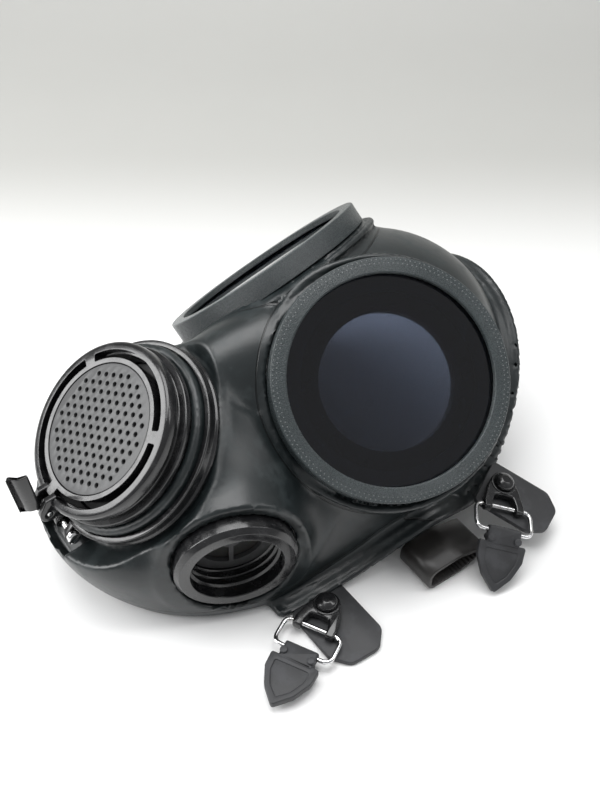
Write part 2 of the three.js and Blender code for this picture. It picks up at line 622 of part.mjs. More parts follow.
function buckle(name, site) {
  const seat = groupAt(new THREE.Matrix4().setPosition(vec(site.stud)), `${name}_seat`);
  const yaw = THREE.MathUtils.degToRad(site.tabYawDeg);
  seat.rotation.set(0, THREE.MathUtils.degToRad(site.tiltDeg), yaw, "ZYX");
  model.add(seat);
  mesh(`tab_${name}`, tabPlate(), softRubber, seat);
  mesh(`stud_${name}`, studSolid(), glossPlastic, seat);
  const swivel = new THREE.Group();
  swivel.name = `link_${name}_axis`;
  swivel.rotation.z = THREE.MathUtils.degToRad(site.yawDeg) - yaw;
  seat.add(swivel);
  mesh(`link_${name}`, linkPlate(), glossPlastic, swivel);
  const ring = new THREE.Group();
  ring.name = `ring_${name}_axis`;
  ring.position.set(link.reach - 1, 0, gap + link.thick / 2);
  swivel.add(ring);
  mesh(`ring_${name}`, ringSolid(), chromeWire, ring);
  const pull = new THREE.Group();
  pull.name = `pull_${name}_axis`;
  pull.position.set(wireRing.deep, 0, 0);
  pull.rotation.y = THREE.MathUtils.degToRad(site.pullDropDeg ?? 0);
  ring.add(pull);
  mesh(`pull_tab_${name}`, pullSolid(), softRubber, pull);
}
for (const site of buckleSites) {
  buckle(site.name, site);
  const right = { ...site, stud: mirrored(site.stud), yawDeg: -site.yawDeg, tabYawDeg: -site.tabYawDeg };
  buckle(site.name.replace("left", "right"), right);
}

// ---- strap loops lying on the table under the flange ----
function strapLoop() {
  const end = strap.loopHigh / 2;
  const outer = roundedRect(0, 0, strap.loopLong, strap.loopHigh, end);
  const t = strap.thick;
  const inner = roundedRect(t, t, strap.loopLong - t, strap.loopHigh - t, end - t);
  const shape = new THREE.Shape(outer.getPoints(5));
  shape.holes.push(new THREE.Path(inner.getPoints(5).reverse()));
  return extruded(shape, strap.wide, 5).rotateX(Math.PI / 2).translate(0, strap.wide, 0);
}
mesh("strap_loop_left", strapLoop().translate(strap.x, strap.edgeY, 0), softRubber, model);
mesh("strap_loop_right", strapLoop().translate(strap.x, -strap.edgeY - strap.wide, 0), softRubber, model);

// The origin is the middle of the bounding box's bottom.
model.updateMatrixWorld(true);
const box = new THREE.Box3().setFromObject(model, true);
const middle = box.getCenter(new THREE.Vector3());
model.position.set(-middle.x, -middle.y, -box.min.z);

export default model;
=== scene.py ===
import json
import math

import bmesh
import bpy
import numpy as np
from mathutils import Matrix, Vector

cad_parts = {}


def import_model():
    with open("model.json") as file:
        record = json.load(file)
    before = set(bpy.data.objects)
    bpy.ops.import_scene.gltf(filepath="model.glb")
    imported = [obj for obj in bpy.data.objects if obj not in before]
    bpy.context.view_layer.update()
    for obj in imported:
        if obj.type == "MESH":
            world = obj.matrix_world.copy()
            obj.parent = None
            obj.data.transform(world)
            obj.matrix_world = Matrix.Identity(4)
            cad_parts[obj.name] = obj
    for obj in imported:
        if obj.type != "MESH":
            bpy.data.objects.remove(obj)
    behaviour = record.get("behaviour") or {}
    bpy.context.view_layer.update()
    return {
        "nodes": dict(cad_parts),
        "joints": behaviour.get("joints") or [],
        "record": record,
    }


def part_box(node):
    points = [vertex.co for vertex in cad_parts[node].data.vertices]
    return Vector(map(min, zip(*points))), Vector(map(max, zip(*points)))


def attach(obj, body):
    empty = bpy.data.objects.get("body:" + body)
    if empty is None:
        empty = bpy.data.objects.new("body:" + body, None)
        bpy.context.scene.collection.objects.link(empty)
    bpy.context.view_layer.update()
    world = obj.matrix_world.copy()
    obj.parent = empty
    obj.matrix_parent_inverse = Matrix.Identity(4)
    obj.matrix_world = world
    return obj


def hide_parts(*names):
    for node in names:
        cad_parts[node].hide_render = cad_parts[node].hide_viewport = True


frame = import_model()
nodes = frame["nodes"]
mounts = {m["name"]: m for m in frame["record"]["mounts"]}
joints = {j["name"]: j for j in frame["joints"]}
mm = 0.001  # lengths below are millimetres unless a name says otherwise
gap = 0.3


# Frames of the round units and the buckles
def corners(node):
    points = np.array([v.co for v in nodes[node].data.vertices])
    return np.unique(points.round(7), axis=0)


def basis(x, y, z, origin):
    return Matrix.Translation(origin) @ Matrix((x, y, z)).transposed().to_4x4()


def unitFrame(mountName, roundNode):  # +Z out of the unit's front, +X towards the forehead
    z = Vector(mounts[mountName]["axis"]).normalized()
    middle = Vector(corners(roundNode).mean(0))
    origin = middle + z * (Vector(mounts[mountName]["pos_m"]) - middle).dot(z)
    x = (Vector((1, 0, 0)) - z * z.x).normalized()
    return basis(x, z.cross(x), z, origin)


def pointingFrame(origin, towards, z=None, y=None):  # +X towards a point, square to the given axis
    fixed = Vector(z or y).normalized()
    x = Vector(towards) - Vector(origin)
    x = (x - fixed * x.dot(fixed)).normalized()
    if z:
        return basis(x, fixed.cross(x), fixed, Vector(origin))
    return basis(x, fixed, x.cross(fixed), Vector(origin))


speechFrame = unitFrame("speech_unit_rim", "speech_diaphragm")
portFrame = unitFrame("filter_port_face", "inlet_disc")
eyeFrames = {side: unitFrame(side + "_cover_face", side + "_cover_lens") for side in ("left", "right")}
ground = Vector((speechFrame.translation.x, 0, 0)) / mm  # under the speech unit's front face


# Shader maths
class Wire:  # a socket that takes part in sums
    def __init__(self, finish, socket):
        self.finish = finish
        self.socket = socket

    def __add__(self, other): return self.finish.maths("ADD", self, other)
    def __radd__(self, other): return self.finish.maths("ADD", other, self)
    def __sub__(self, other): return self.finish.maths("SUBTRACT", self, other)
    def __rsub__(self, other): return self.finish.maths("SUBTRACT", other, self)
    def __mul__(self, other): return self.finish.maths("MULTIPLY", self, other)
    def __rmul__(self, other): return self.finish.maths("MULTIPLY", other, self)
    def __truediv__(self, other): return self.finish.maths("DIVIDE", self, other)


class Finish:  # one material while it is being built
    def __init__(self, name):
        self.material = bpy.data.materials.new(name)
        self.material.use_nodes = True
        self.tree = self.material.node_tree
        self.tree.nodes.clear()

    def node(self, kind, settings=None, inputs=None, out=0):
        made = self.tree.nodes.new("ShaderNode" + kind)
        for key, value in (settings or {}).items():
            setattr(made, key, value)
        for key, value in (inputs or {}).items():
            if isinstance(value, Wire):
                self.tree.links.new(value.socket, made.inputs[key])
            else:
                made.inputs[key].default_value = value
        return Wire(self, made.outputs[out]) if made.outputs else None

    def maths(self, operation, *values):
        return self.node("Math", {"operation": operation}, dict(enumerate(values)))

    def place(self):  # millimetres in the piece's own frame
        spot = self.node("TexCoord", out=3)
        return self.node("VectorMath", {"operation": "SCALE"}, {0: spot, "Scale": 1 / mm})

    def noise(self, place, size, detail=3.0, roughness=0.5):
        return self.node("TexNoise", None, {"Vector": place, "Scale": 1 / size, "Detail": detail,
                                            "Roughness": roughness})

    def cells(self, place, size):
        return self.node("TexVoronoi", {"feature": "F1"}, {"Vector": place, "Scale": 1 / size})

    def between(self, value, low, high):  # 0 below low, 1 above high
        return self.node("MapRange", {"interpolation_type": "SMOOTHSTEP"},
                         {"Value": value, "From Min": low, "From Max": high})

    def line(self, value, at, halfWidth):  # 1 on a thin line where value is at
        off = self.maths("ABSOLUTE", value - at)
        return 1 - self.between(off, halfWidth * 0.4, halfWidth)

    def blend(self, share, a, b):
        a, b = [(*c, 1) if isinstance(c, tuple) and len(c) == 3 else c for c in (a, b)]
        return self.node("Mix", {"data_type": "RGBA"}, {0: share, 6: a, 7: b}, out=2)

    def bump(self, height, depth, strength=1.0, normal=None):  # depth in millimetres
        inputs = {"Height": height, "Distance": depth * mm, "Strength": strength}
        if normal:
            inputs["Normal"] = normal
        return self.node("Bump", None, inputs)

    def finished(self, **inputs):
        names = {key: key.replace("_", " ") for key in inputs}
        surface = self.node("BsdfPrincipled", None, {names[k]: v for k, v in inputs.items()})
        self.node("OutputMaterial", None, {"Surface": surface})
        return self.material


# Finishes
rubberTones = {
    "facepiece": {"dark": (0.005, 0.0075, 0.0085), "light": (0.016, 0.021, 0.022),
                  "roughness": 0.33, "grain": 0.05},
    "strap": {"dark": (0.008, 0.0075, 0.007), "light": (0.018, 0.016, 0.015),
              "roughness": 0.36, "grain": 0.03},
    "tab": {"dark": (0.017, 0.0175, 0.019), "light": (0.034, 0.035, 0.038),
            "roughness": 0.60, "grain": 0.08},
    "inner": {"dark": (0.006, 0.007, 0.008), "light": (0.014, 0.015, 0.016),
              "roughness": 0.66, "grain": 0.05},
}


def rubberFinish(name, tone, shadedCreases=False):
    f = Finish(name)
    t = rubberTones[tone]
    place = f.place()
    clouds = f.noise(place, 30, 4, 0.6)
    smudge = f.between(f.noise(place, 9, 6, 0.65), 0.48, 0.66)
    dust = f.between(f.noise(place, 1.1, 3, 0.7), 0.68, 0.76) * smudge
    shade = f.blend(clouds, t["dark"], t["light"])
    shade = f.blend(smudge * 0.35, shade, tuple(2.2 * c for c in t["light"]))
    shade = f.blend(dust * 0.2, shade, (0.14, 0.15, 0.15))
    rough = t["roughness"] + 0.16 * (clouds - 0.5) + 0.10 * smudge
    scuff = f.noise(f.node("VectorMath", {"operation": "MULTIPLY"}, {0: place, 1: (1.0, 0.16, 0.4)}), 2.2, 5, 0.7)
    height = 0.6 * f.noise(place, 0.35, 2) + 0.9 * f.noise(place, 3.2, 3) + 0.5 * scuff
    normal = f.bump(height, t["grain"])
    if shadedCreases:
        rimLift = f.node("Attribute", {"attribute_name": "rimLift"}, out=2)
        eyeSeam = f.node("Attribute", {"attribute_name": "eyeSeam"}, out=2)
        # painted shade: the crease 8.6 mm above the rim and the one just outside each eye bead are darkened in
        # colour, standing in for shade in the creases; the bump grooves them as well
        creaseGrooveAndShade = f.maths("MAXIMUM", f.line(rimLift, 8.6, 0.6), f.line(eyeSeam, 0.0, 0.38))
        shade = f.blend(creaseGrooveAndShade * 0.8, shade, (0.004, 0.005, 0.005))
        normal = f.bump(1 - creaseGrooveAndShade, 0.5, 1.0, normal)
    return f.finished(Base_Color=shade, Roughness=rough, Normal=normal, Coat_Weight=0.12, Coat_Roughness=0.32)


def glossFinish():
    f = Finish("glossBlackPlastic")
    place = f.place()
    haze = f.between(f.noise(place, 7, 5, 0.6), 0.42, 0.66)
    scratch = f.noise(f.node("VectorMath", {"operation": "MULTIPLY"}, {0: place, 1: (1, 0.08, 0.5)}), 0.5, 4, 0.7)
    shade = f.blend(haze, (0.0065, 0.0065, 0.0072), (0.0135, 0.0135, 0.0145))
    normal = f.bump(0.7 * scratch + 0.8 * f.noise(place, 4, 2), 0.02)
    return f.finished(Base_Color=shade, Roughness=0.17 + 0.14 * haze, Normal=normal,
                      Coat_Weight=0.35, Coat_Roughness=0.08)


def satinFinish():
    f = Finish("satinGreyPlastic")
    place = f.place()
    cloud = f.noise(place, 11, 4, 0.6)
    shade = f.blend(cloud, (0.050, 0.051, 0.052), (0.085, 0.086, 0.087))
    shade = f.blend(f.between(f.noise(place, 0.8, 2), 0.66, 0.74) * 0.3, shade, (0.2, 0.2, 0.2))
    normal = f.bump(f.noise(place, 0.22, 2), 0.022)
    return f.finished(Base_Color=shade, Roughness=0.36 + 0.14 * cloud, Normal=normal)


coverDots = {"count": 150, "rows": (48.6, 50.2), "radius": 0.34, "layer": 0.4}


def printedFinish():  # layered plastic with a fine sparkle and two rows of small dots near the edge
    f = Finish("layeredPlastic")
    place = f.place()
    x, y, z = (f.node("SeparateXYZ", None, {0: place}, out=axis) for axis in range(3))
    radius = f.maths("SQRT", x * x + y * y)
    turn = f.maths("ARCTAN2", y, x) * (coverDots["count"] / (2 * math.pi))
    dots = None
    for number, rowRadius in enumerate(coverDots["rows"]):
        along = f.maths("FRACT", turn + number * 0.5) - 0.5
        along = along * (2 * math.pi * rowRadius / coverDots["count"])
        off = f.maths("SQRT", along * along + (radius - rowRadius) * (radius - rowRadius))
        row = 1 - f.between(off, coverDots["radius"] * 0.5, coverDots["radius"])
        dots = row if dots is None else f.maths("MAXIMUM", dots, row)
    onTop = f.between(z, -0.5, -0.1)
    dots = dots * onTop
    tracks = f.maths("SINE", radius * (2 * math.pi / coverDots["layer"])) * onTop
    layers = f.maths("SINE", z * (2 * math.pi / coverDots["layer"])) * (1 - onTop)
    grit = f.cells(place, 0.5)
    spark = f.between(f.noise(place, 0.35, 2, 0.7), 0.60, 0.70)
    cloud = f.noise(place, 14, 3)
    shade = f.blend(cloud, (0.020, 0.026, 0.028), (0.040, 0.050, 0.052))
    shade = f.blend(spark * 0.6, shade, (0.17, 0.20, 0.21))
    shade = f.blend(dots * 0.6, shade, (0.26, 0.28, 0.28))
    normal = f.bump(0.4 * tracks + 0.7 * layers + 1.6 * grit, 0.07)
    normal = f.bump(dots, 0.3, 0.8, normal)
    return f.finished(Base_Color=shade, Roughness=0.22 + 0.12 * grit, Normal=normal)


def darkLensFinish():
    f = Finish("darkLensGlass")
    place = f.place()
    smear = f.between(f.noise(place, 16, 6, 0.6), 0.45, 0.75)
    normal = f.bump(f.noise(place, 26, 2), 0.02)
    return f.finished(Base_Color=(0.10, 0.115, 0.165, 1), Roughness=0.015 + 0.05 * smear, Normal=normal,
                      Transmission_Weight=1.0, IOR=1.5)


def clearLensFinish():
    f = Finish("clearLensPlastic")
    place = f.place()
    smear = f.between(f.noise(place, 12, 5, 0.6), 0.45, 0.75)
    return f.finished(Base_Color=(0.80, 0.84, 0.86, 1), Roughness=0.02 + 0.06 * smear,
                      Normal=f.bump(smear, 0.01), Transmission_Weight=1.0, IOR=1.58)


def chromeFinish():
    f = Finish("chromedWire")
    place = f.place()
    drawn = f.noise(f.node("VectorMath", {"operation": "MULTIPLY"}, {0: place, 1: (1, 1, 0.2)}), 0.3, 4, 0.7)
    tarnish = f.between(f.noise(place, 3, 4, 0.6), 0.5, 0.75)
    shade = f.blend(tarnish, (0.74, 0.74, 0.745), (0.52, 0.50, 0.47))
    return f.finished(Base_Color=shade, Metallic=1.0, Roughness=0.10 + 0.14 * tarnish,
                      Normal=f.bump(drawn, 0.012))


def siliconeFinish():
    f = Finish("darkSilicone")
    place = f.place()
    cloud = f.noise(place, 6, 4)
    shade = f.blend(cloud, (0.014, 0.014, 0.013), (0.030, 0.029, 0.027))
    normal = f.bump(f.noise(place, 0.4, 2), 0.02)
    return f.finished(Base_Color=shade, Roughness=0.45 + 0.15 * cloud, Normal=normal,
                      Subsurface_Weight=0.15, Subsurface_Scale=0.002)


finishes = {
    "facepiece_rubber": rubberFinish("facepieceRubber", "facepiece", shadedCreases=True),
    "inner_rubber": rubberFinish("innerRubber", "inner"),
    "strap_rubber": rubberFinish("strapRubber", "strap"),
    "tab_rubber": rubberFinish("tabRubber", "tab"),
    "printed_plastic": printedFinish(),
    "dark_lens": darkLensFinish(),
    "clear_lens": clearLensFinish(),
    "chrome_wire": chromeFinish(),
    "satin_plastic": satinFinish(),
    "gloss_plastic": glossFinish(),
    "silicone": siliconeFinish(),
}
for part in frame["record"]["subparts"]:  # every carried-over CAD node gets its finish
    node = nodes[part["node"]]
    node.data.materials.clear()
    node.data.materials.append(finishes[part["material_slot"]])
print("finishes made:", len(finishes))


# Making meshes
def meshPiece(name, points, faces, slot, sharp=38.0):
    data = bpy.data.meshes.new(name)
    data.from_pydata([tuple(p) for p in np.asarray(points, float) * mm], [], faces)
    piece = bpy.data.objects.new(name, data)
    bpy.context.scene.collection.objects.link(piece)
    cleaned(piece, slot, sharp)
    return piece


def cleaned(piece, slot, sharp=38.0):  # closed up, faces out, smooth apart from its real edges
    data = piece.data
    work = bmesh.new()
    work.from_mesh(data)
    bmesh.ops.remove_doubles(work, verts=work.verts, dist=1e-6)
    bmesh.ops.dissolve_degenerate(work, edges=work.edges, dist=1e-7)
    bmesh.ops.recalc_face_normals(work, faces=work.faces)
    work.to_mesh(data)
    work.free()
    data.shade_smooth()
    data.set_sharp_from_angle(angle=math.radians(sharp))
    data.materials.clear()
    data.materials.append(finishes[slot])
    piece["slotName"] = slot


def seat(piece, matrix, body, *replaced):  # puts a piece in place, on its body, and hides the parts it replaces
    piece.matrix_world = matrix
    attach(piece, body)
    del piece["slotName"]
    if replaced:
        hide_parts(*replaced)
    return piece


def softened(outline, steps=4):  # corners (a, b, radius) of a closed outline, with the radius rounded
    line = []
    count = len(outline)
    for i, corner in enumerate(outline):
        here = np.array(corner[:2], float)
        radius = corner[2] if len(corner) > 2 else 0
        before = np.array(outline[i - 1][:2], float) - here
        after = np.array(outline[(i + 1) % count][:2], float) - here
        if not radius:
            line.append(here)
            continue
        lengths = np.linalg.norm(before), np.linalg.norm(after)
        cosine = float(before @ after / (lengths[0] * lengths[1]))
        half = math.acos(max(-1, min(1, cosine))) / 2
        reach = min(radius / max(math.tan(half), 0.05), 0.48 * lengths[0], 0.48 * lengths[1])
        start = here + before / lengths[0] * reach
        end = here + after / lengths[1] * reach
        for k in range(steps + 1):
            t = k / steps
            line.append((1 - t) ** 2 * start + 2 * t * (1 - t) * here + t * t * end)
    return np.array(line)


def turned(name, profile, slot, segments=144, steps=4):  # profile corners are (radius, depth, rounding)
    line = softened(profile, steps)
    turns = np.arange(segments) * 2 * math.pi / segments
    points = [(r * math.cos(a), r * math.sin(a), -d) for a in turns for r, d in line]
    n = len(line)
    faces = []
    for i in range(segments):
        for j in range(n):
            a, b = i * n + j, i * n + (j + 1) % n
            c, d = ((i + 1) % segments) * n + (j + 1) % n, ((i + 1) % segments) * n + j
            faces.append((a, b, c, d))
    return meshPiece(name, points, faces, slot)


def fromCurve(name, curve, slot, sharp=38.0):
    shape = bpy.data.objects.new(name, curve)
    bpy.context.scene.collection.objects.link(shape)
    bpy.context.view_layer.update()
    data = bpy.data.meshes.new_from_object(shape.evaluated_get(bpy.context.evaluated_depsgraph_get()))
    bpy.data.objects.remove(shape)
    piece = bpy.data.objects.new(name, data)
    bpy.context.scene.collection.objects.link(piece)
    cleaned(piece, slot, sharp)
    return piece


def plate(name, loops, thick, slot, bevel=0.3, height=0.0):  # flat shape with holes, its edges rounded
    curve = bpy.data.curves.new(name, "CURVE")
    curve.dimensions = "2D"
    curve.fill_mode = "BOTH"
    curve.extrude = (thick / 2 - bevel) * mm
    curve.bevel_depth = bevel * mm
    curve.bevel_resolution = 2
    curve.offset = -bevel * mm
    for loop in loops:
        spline = curve.splines.new("POLY")
        spline.points.add(len(loop) - 1)
        for point, (x, y) in zip(spline.points, loop):
            point.co = (x * mm, y * mm, 0, 1)
        spline.use_cyclic_u = True
    piece = fromCurve(name, curve, slot)
    piece.data.transform(Matrix.Translation((0, 0, height * mm)))
    return piece


def wireLoop(name, loop, radius, slot, closed=True):
    curve = bpy.data.curves.new(name, "CURVE")
    curve.dimensions = "3D"
    curve.bevel_depth = radius * mm
    curve.bevel_resolution = 5
    curve.use_fill_caps = not closed
    spline = curve.splines.new("POLY")
    spline.points.add(len(loop) - 1)
    for point, place in zip(spline.points, loop):
        point.co = (*(Vector(place) * mm), 1)
    spline.use_cyclic_u = closed
    return fromCurve(name, curve, slot, 60)


def carve(piece, tools, operation="DIFFERENCE", sharp=38.0):
    for tool in tools:
        change = piece.modifiers.new("carve", "BOOLEAN")
        change.operation = operation
        change.solver = "EXACT"
        change.object = tool
    bpy.context.view_layer.update()
    data = bpy.data.meshes.new_from_object(piece.evaluated_get(bpy.context.evaluated_depsgraph_get()))
    piece.modifiers.clear()
    piece.data = data
    for tool in tools:
        bpy.data.objects.remove(tool)
    cleaned(piece, piece["slotName"], sharp)
    return piece


def joined(name, pieces):  # several closed bodies as one piece
    work = bmesh.new()
    for piece in pieces:
        work.from_mesh(piece.data)
    data = bpy.data.meshes.new(name)
    work.to_mesh(data)
    work.free()
    slot = pieces[0]["slotName"]
    for piece in pieces:
        bpy.data.objects.remove(piece)
    whole = bpy.data.objects.new(name, data)
    bpy.context.scene.collection.objects.link(whole)
    cleaned(whole, slot)
    return whole


def shifted(piece, matrix):  # moves the mesh itself; the matrix is in millimetres
    move = matrix.copy()
    move.translation *= mm
    piece.data.transform(move)
    return piece


def circle(radius, sides=24, x=0.0, y=0.0):
    turns = np.arange(sides) * 2 * math.pi / sides
    return [(x + radius * math.cos(a), y + radius * math.sin(a)) for a in turns]


def arc(radius, start, end, steps, x=0.0, y=0.0):  # degrees
    turns = np.radians(np.linspace(start, end, steps))
    return [(x + radius * math.cos(a), y + radius * math.sin(a)) for a in turns]


# Facepiece: one blended shell, polygonised from a distance field
shell = {
    "wall": 3.2, "cell": 1.5, "smooth": 16, "neckSmooth": 8, "edge": 2.4,
    "domes": [  # centre and radii from the point under the speech unit's front face
        ((118, 0, 12), (84, 70, 88)), ((141, 0, 52), (60, 60, 58)), ((80, 0, 64), (62, 26, 38)),
        ((52, 0, 18), (75, 67, 48)), ((-3, 0, 33), (26, 41, 22)),
    ],
    "brimWide": 9, "brimThick": 3, "brimFrom": 38, "stepWide": 4.5, "stepHigh": 2.6,
}
rim = {
    "chinX": -10, "browX": 195, "chinZ": 12, "browZ": 72, "saddle": 0.009,
    "archX": 118, "archZ": 15, "archWide": 34,
}
speech = {
    "rimR": 37.2, "spigotR": 36, "boreR": 32.5, "ridgeR": 38, "grooveR": 34.8, "hubR": 29, "ledgeR": 25.5,
    "plate": 3.2, "hubDepth": 8.4, "ledge": (2.5, 4.5), "length": 30, "neckR": 40.8, "neckFront": 13,
}
port = {
    "seat": 7.5, "r": 26, "boreR": 19.5, "collar": 10, "spigotR": 22.6, "length": 20, "bossR": 31,
    "step": 16.9,
}
cover = {"r": 51.5, "depth": 9.5, "lipR": 44.5, "lip": 2.8, "wall": 3.6, "lensThick": 2.5}
eyeTubeR = 34.6


def ellipsoid(p, centre, radii):
    q = p - np.array(centre)
    k0 = np.linalg.norm(q / np.array(radii), axis=-1)
    k1 = np.linalg.norm(q / np.array(radii) ** 2, axis=-1)
    return k0 * (k0 - 1) / np.maximum(k1, 1e-9)


def smoothJoin(a, b, k):  # smooth union
    h = np.clip(0.5 + 0.5 * (b - a) / k, 0, 1)
    return b + (a - b) * h - k * h * (1 - h)


def smoothTrim(a, b, k):  # a kept where b is inside too, its edge rounded
    return -smoothJoin(-a, -b, k)


def unitCoordinates(p, matrix):  # depth behind the unit's front, and distance from its axis
    q = p - (np.array(matrix.translation) / mm - np.array(ground))
    depth = -(q @ np.array(matrix.col[2][:3]))
    radius = np.sqrt(np.maximum((q * q).sum(-1) - depth * depth, 0))
    return depth, radius


def cone(depth, radius, d0, r0, d1, r1):
    slope = (r1 - r0) / (d1 - d0)
    side = (radius - r0 - (depth - d0) * slope) / math.hypot(1, slope)
    return np.maximum(np.maximum(side, d0 - depth), depth - d1)


def rimHeight(p):
    x, y = p[..., 0], p[..., 1]
    along = (x - rim["chinX"]) / (rim["browX"] - rim["chinX"])
    profile = rim["chinZ"] + (rim["browZ"] - rim["chinZ"]) * along - rim["saddle"] * y * y
    arch = rim["archZ"] * np.exp(-(((x - rim["archX"]) / rim["archWide"]) ** 2))
    return np.maximum(np.maximum(profile, arch), 0)


def facepieceField(p):
    speechDepth, speechRadius = unitCoordinates(p, speechFrame)
    portDepth, portRadius = unitCoordinates(p, portFrame)
    eyes = [unitCoordinates(p, eyeFrames[side]) for side in ("left", "right")]
    seatDepth = cover["depth"] + gap
    domes = ellipsoid(p, *shell["domes"][0])
    for centre, radii in shell["domes"][1:]:
        domes = smoothJoin(domes, ellipsoid(p, centre, radii), shell["smooth"])
    k = shell["neckSmooth"]
    body = smoothJoin(domes, cone(speechDepth, speechRadius, 30, speech["neckR"] + 3, 78, 61), k)
    body = smoothJoin(body, cone(speechDepth, speechRadius, speech["neckFront"], speech["neckR"], 50,
                             speech["neckR"] + 2), k)
    body = smoothJoin(body, cone(portDepth, portRadius, port["seat"], port["bossR"], 42, port["bossR"] + 8), k)
    for depth, radius in eyes:
        body = smoothJoin(body, cone(depth, radius, seatDepth, cover["r"] - 0.5, 46, cover["r"] + 5), k * 0.75)
        body = smoothJoin(body, np.hypot(radius - cover["r"] - 2.6, depth - seatDepth - 2.5) - 1.5, 1.6)
    flare = (speechRadius - 44.6 - (24.8 - speechDepth) * 1.3) * 0.61  # room for the clamp, opening to the front
    band = np.maximum(np.maximum(flare, speechDepth - 24.8), speech["neckR"] - speechRadius)
    ears = np.maximum(np.abs(speechDepth - 20.5) - 4.6, np.abs(p[..., 1]) - 11)
    ears = np.maximum(np.maximum(ears, speechRadius - 56), speech["neckR"] - speechRadius)
    band = np.minimum(band, np.where(p[..., 0] < 0, ears, 50))
    front = np.maximum(speechRadius - 56, speechDepth - speech["neckFront"])
    # cut before the hollow is made, so that the wall runs on behind
    body = smoothTrim(smoothTrim(body, -band, 1.2), -front, 1.6)
    lift = p[..., 2] - rimHeight(p)
    hollow = smoothTrim(body, -(body + shell["wall"]), 1.0)
    skin = smoothTrim(hollow, -lift, shell["edge"])
    sleeve = np.maximum(np.maximum(speechRadius - speech["neckR"], speech["neckFront"] - speechDepth),
                        speechDepth - 30)
    skin = np.minimum(skin, sleeve)
    behind = shell["brimFrom"] - p[..., 0]
    half = shell["brimThick"] / 2
    layer = np.abs(lift - half) - half
    brim = smoothTrim(smoothTrim(domes - shell["brimWide"], layer, 2.0), behind, 3.0)
    inner = -(body + shell["wall"] + 6)  # the brim is hollow where the face goes
    brim = np.maximum(brim, inner)
    step = np.abs(lift - shell["stepHigh"]) - 1.7
    second = smoothTrim(smoothTrim(domes - shell["stepWide"], step, 1.5), behind + 4, 3.0)
    brim = smoothJoin(brim, np.maximum(second, inner), 1.0)
    collar = np.minimum(np.abs(speechDepth - 14.6) - 0.9, np.abs(speechDepth - 27.6) - 1.5)  # beads of the neck
    collar = np.maximum(collar, np.abs(speechRadius - speech["neckR"]) - 0.9)
    skin = smoothJoin(skin, collar, 1.2)
    field = smoothJoin(skin, brim, 2.5)
    field = smoothTrim(field, -band, 1.2)
    field = smoothTrim(field, speech["spigotR"] + gap - speechRadius, 0.5)
    field = smoothTrim(field, -front, 1.6)
    portFront = np.maximum(portRadius - port["r"] - gap, portDepth - port["collar"] - gap)
    field = smoothTrim(field, -portFront, 0.6)
    field = smoothTrim(field, np.where(portDepth < 46, port["spigotR"] + gap - portRadius, -50), 0.5)
    for depth, radius in eyes:
        eyeFront = np.maximum(radius - cover["r"] - gap, depth - seatDepth)
        field = smoothTrim(field, -eyeFront, 0.6)
        field = smoothTrim(field, np.where(depth < 40, eyeTubeR + gap - radius, -50), 0.5)
    return field


def surfaceNet(values, origin, cell):  # one point in each crossed cell, a quad across each crossed edge
    inside = values < 0
    cells = tuple(n - 1 for n in values.shape)
    sums = np.zeros((int(np.prod(cells)), 3))
    hits = np.zeros(int(np.prod(cells)))
    quads = []
    for axis in range(3):
        low = [slice(1, -1)] * 3
        high = [slice(1, -1)] * 3
        low[axis], high[axis] = slice(0, -1), slice(1, None)
        low, high = tuple(low), tuple(high)
        at = np.argwhere(inside[low] != inside[high])
        at += [0 if k == axis else 1 for k in range(3)]
        unit = np.eye(3, dtype=int)[axis]
        a = values[tuple(at.T)]
        b = values[tuple((at + unit).T)]
        crossing = at + (a / (a - b))[:, None] * unit
        u, v = np.eye(3, dtype=int)[(axis + 1) % 3], np.eye(3, dtype=int)[(axis + 2) % 3]
        around = np.stack([np.ravel_multi_index((at - o).T, cells) for o in (0 * u, u, u + v, v)], axis=1)
        for column in around.T:
            hits += np.bincount(column, minlength=len(hits))
            for k in range(3):
                sums[:, k] += np.bincount(column, weights=crossing[:, k], minlength=len(hits))
        outward = a < 0
        quads.append(np.where(outward[:, None], around, around[:, ::-1]))
    used, faces = np.unique(np.concatenate(quads), return_inverse=True)
    points = sums[used] / hits[used][:, None]
    return np.array(origin) + points * cell, faces.reshape(-1, 4)


def settled(points, rounds=4):  # draws the points onto the surface itself
    for _ in range(rounds):
        value = facepieceField(points)
        slope = np.stack([facepieceField(points + step) - facepieceField(points - step)
                          for step in np.eye(3) * 0.05], axis=1) / 0.1
        steep = np.maximum((slope * slope).sum(1), 0.15)
        move = -(value / steep)[:, None] * slope
        reach = np.linalg.norm(move, axis=1)[:, None]
        points = points + move * np.minimum(1, 0.8 / np.maximum(reach, 1e-9))
    return points


def facepiece():
    low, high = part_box("facepiece")
    start = np.array(low) / mm - np.array(ground) - 7
    end = np.array(high) / mm - np.array(ground) + 7
    start[2] = -2.4
    axes = [np.arange(start[k], end[k], shell["cell"]) for k in range(3)]
    grid = np.stack(np.meshgrid(*axes, indexing="ij"), axis=-1)
    points, faces = surfaceNet(facepieceField(grid), start, shell["cell"])
    points = settled(points)
    points[:, 2] = np.maximum(points[:, 2], 0.05)
    piece = meshPiece("facepieceShell", points + np.array(ground), faces.tolist(), "facepiece_rubber", 70)
    table = np.array([v.co for v in piece.data.vertices]) / mm - np.array(ground)
    seam = np.min([unitCoordinates(table, eyeFrames[side])[1] for side in ("left", "right")], axis=0) - 56.0
    for name, values in (("rimLift", table[:, 2] - rimHeight(table)), ("eyeSeam", seam)):
        layer = piece.data.attributes.new(name, "FLOAT", "POINT")
        layer.data.foreach_set("value", values.astype(np.float32))
    seat(piece, Matrix.Identity(4), "mask", "facepiece")
    print("facepiece:", len(points), "points")


facepiece()


# Speech and exhale unit
grille = {"r": 27.3, "thick": 2, "inset": 0.25, "pitch": 4.3, "holeR": 1.05, "fieldR": 24.6}
slots = {"innerR": 29.7, "outerR": 33.3, "count": 3, "spokeDeg": 9, "firstDeg": 60, "corner": 1.1}
leverPivot = Vector(joints["drinking_lever_turn"]["pos_m"])


